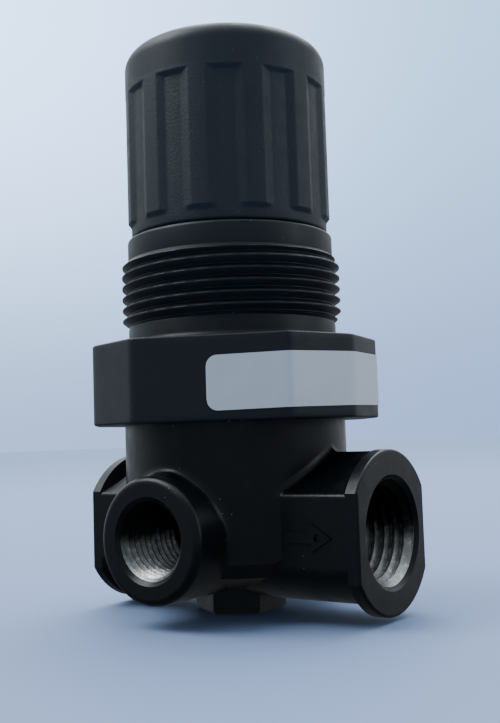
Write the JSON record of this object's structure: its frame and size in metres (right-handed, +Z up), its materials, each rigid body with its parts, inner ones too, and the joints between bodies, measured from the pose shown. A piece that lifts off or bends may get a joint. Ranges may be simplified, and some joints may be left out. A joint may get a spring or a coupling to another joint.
{
  "type": "air pressure regulator",
  "caption": "Miniature relieving air pressure regulator with threaded ports on a round casting, a panel-thread bonnet with hexagon collar, and a ribbed push-to-lock knob.",
  "frame": {"origin": "on the main axis at the underside of the bottom plug", "axes": "+Z up along the main axis through the knob, +X out of the outlet port, -Y out of the front gauge port"},
  "size_m": [0.043, 0.0392, 0.0762],
  "materials": {
    "casting_paint": "satin black paint over die-cast metal",
    "port_thread": "bare machined thread",
    "black_acetal": "moulded, satin",
    "knob_acetal": "moulded, fine spark texture",
    "label_foil": "blank satin silver foil",
    "seal_rubber": "nitrile rubber",
    "spring_steel": "drawn wire",
    "plated_steel": "zinc plated",
    "brass_parts": "turned",
    "white_acetal": "natural moulded acetal"
  },
  "bodies": {
    "housing": {"body_casting": "casting_paint", "bottom_plug": "black_acetal", "plug_o_ring": "seal_rubber", "stem_o_ring": "seal_rubber", "valve_seat": "brass_parts", "diaphragm": "seal_rubber", "slip_ring": "white_acetal", "bonnet": "black_acetal", "name_label": "label_foil", "thrust_washer": "white_acetal", "knob_snap_ring": "spring_steel", "regulating_spring": "spring_steel", "valve_spring": "spring_steel"},
    "screw": {"adjusting_screw": "plated_steel", "screw_clip": "spring_steel"},
    "knob": {"knob": "knob_acetal"},
    "nut": {"adjusting_nut": "brass_parts"},
    "diaphragm_stack": {"relief_plate": "brass_parts", "lower_spring_seat": "plated_steel"},
    "valve": {"valve_poppet": "brass_parts", "valve_seal": "seal_rubber"}
  },
  "joints": [
    {"name": "knob_turn", "type": "hinge", "parent": "housing", "child": "screw", "pos_m": [0, 0, 0.0612], "axis": [0, 0, -1], "range_deg": [0, 1801]},
    {"name": "knob_pull", "type": "slide", "parent": "screw", "child": "knob", "axis": [0, 0, 1], "range_m": [0, 0.0025]},
    {"name": "nut_travel", "type": "slide", "parent": "housing", "child": "nut", "axis": [0, 0, -1], "range_m": [0, 0.00625], "deforming": ["regulating_spring"]},
    {"name": "diaphragm_travel", "type": "slide", "parent": "housing", "child": "diaphragm_stack", "axis": [0, 0, -1], "range_m": [0, 0.0006], "stiffness_N_per_m": 2000, "deforming": ["diaphragm"]},
    {"name": "valve_travel", "type": "slide", "parent": "housing", "child": "valve", "axis": [0, 0, -1], "range_m": [0, 0.0006], "stiffness_N_per_m": 800, "deforming": ["valve_spring"]}
  ],
  "couplings": [
    {"joint": "knob_turn", "follows": "nut_travel", "rad_per_m": 5026.5},
    {"joint": "valve_travel", "follows": "diaphragm_travel", "ratio": 1}
  ]
}
